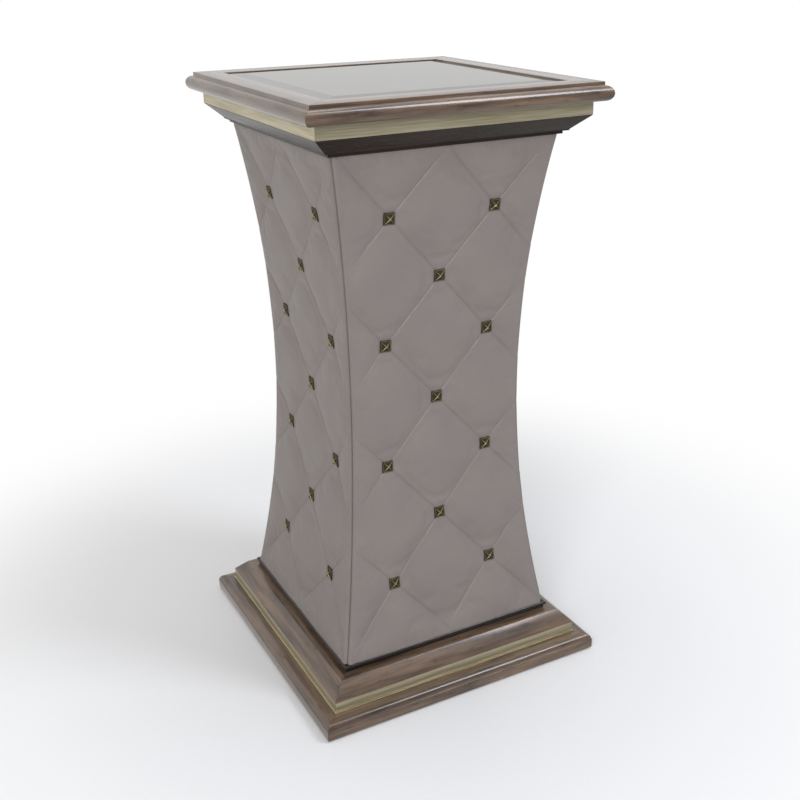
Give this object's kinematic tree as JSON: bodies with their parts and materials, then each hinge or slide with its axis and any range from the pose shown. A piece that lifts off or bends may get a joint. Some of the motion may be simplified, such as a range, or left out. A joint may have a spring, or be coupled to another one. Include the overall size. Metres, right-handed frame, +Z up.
{
  "type": "pedestal column stand",
  "caption": "Square waisted display pedestal with quilted, studded leather sides, a moulded wooden base and top, and an inset bevelled glass.",
  "frame": {"origin": "on the floor, under the middle of the stand", "axes": "+Z up; the front faces -Y and +X is to its right"},
  "size_m": [0.4742, 0.4742, 0.914],
  "materials": {
    "walnut": "brown walnut stain under satin lacquer",
    "dark_walnut": "dark walnut stain under satin lacquer",
    "champagne_leaf": "brushed champagne metal leaf over wood",
    "quilted_leather": "taupe-grey leather over padding, with antique brass pyramid studs",
    "bevelled_glass": "polished, with a wide bevel",
    "veneered_panel": "grey-brown veneer under the glass",
    "plywood": "raw plywood and softwood, hidden",
    "glide_nylon": "moulded nylon"
  },
  "bodies": {
    "root": {"base_band_back": "champagne_leaf", "base_band_front": "champagne_leaf", "base_band_left": "champagne_leaf", "base_band_right": "champagne_leaf", "base_bead_back": "dark_walnut", "base_bead_front": "dark_walnut", "base_bead_left": "dark_walnut", "base_bead_right": "dark_walnut", "base_board": "plywood", "base_slope_back": "walnut", "base_slope_front": "walnut", "base_slope_left": "walnut", "base_slope_right": "walnut", "bulkhead_bottom": "plywood", "bulkhead_middle": "plywood", "bulkhead_top": "plywood", "corner_post_back_left": "plywood", "corner_post_back_right": "plywood", "corner_post_front_left": "plywood", "corner_post_front_right": "plywood", "cornice_band_back": "champagne_leaf", "cornice_band_front": "champagne_leaf", "cornice_band_left": "champagne_leaf", "cornice_band_right": "champagne_leaf", "cornice_board": "plywood", "cornice_slope_back": "dark_walnut", "cornice_slope_front": "dark_walnut", "cornice_slope_left": "dark_walnut", "cornice_slope_right": "dark_walnut", "glass_top": "bevelled_glass", "glide_back_left": "glide_nylon", "glide_back_right": "glide_nylon", "glide_front_left": "glide_nylon", "glide_front_right": "glide_nylon", "leather_cover_back": "quilted_leather", "leather_cover_front": "quilted_leather", "leather_cover_left": "quilted_leather", "leather_cover_right": "quilted_leather", "neck_fillet_back": "dark_walnut", "neck_fillet_front": "dark_walnut", "neck_fillet_left": "dark_walnut", "neck_fillet_right": "dark_walnut", "plinth_rail_back": "walnut", "plinth_rail_front": "walnut", "plinth_rail_left": "walnut", "plinth_rail_right": "walnut", "side_panel_back": "plywood", "side_panel_front": "plywood", "side_panel_left": "plywood", "side_panel_right": "plywood", "top_panel": "veneered_panel", "top_rail_back": "walnut", "top_rail_front": "walnut", "top_rail_left": "walnut", "top_rail_right": "walnut"}
  },
  "joints": []
}
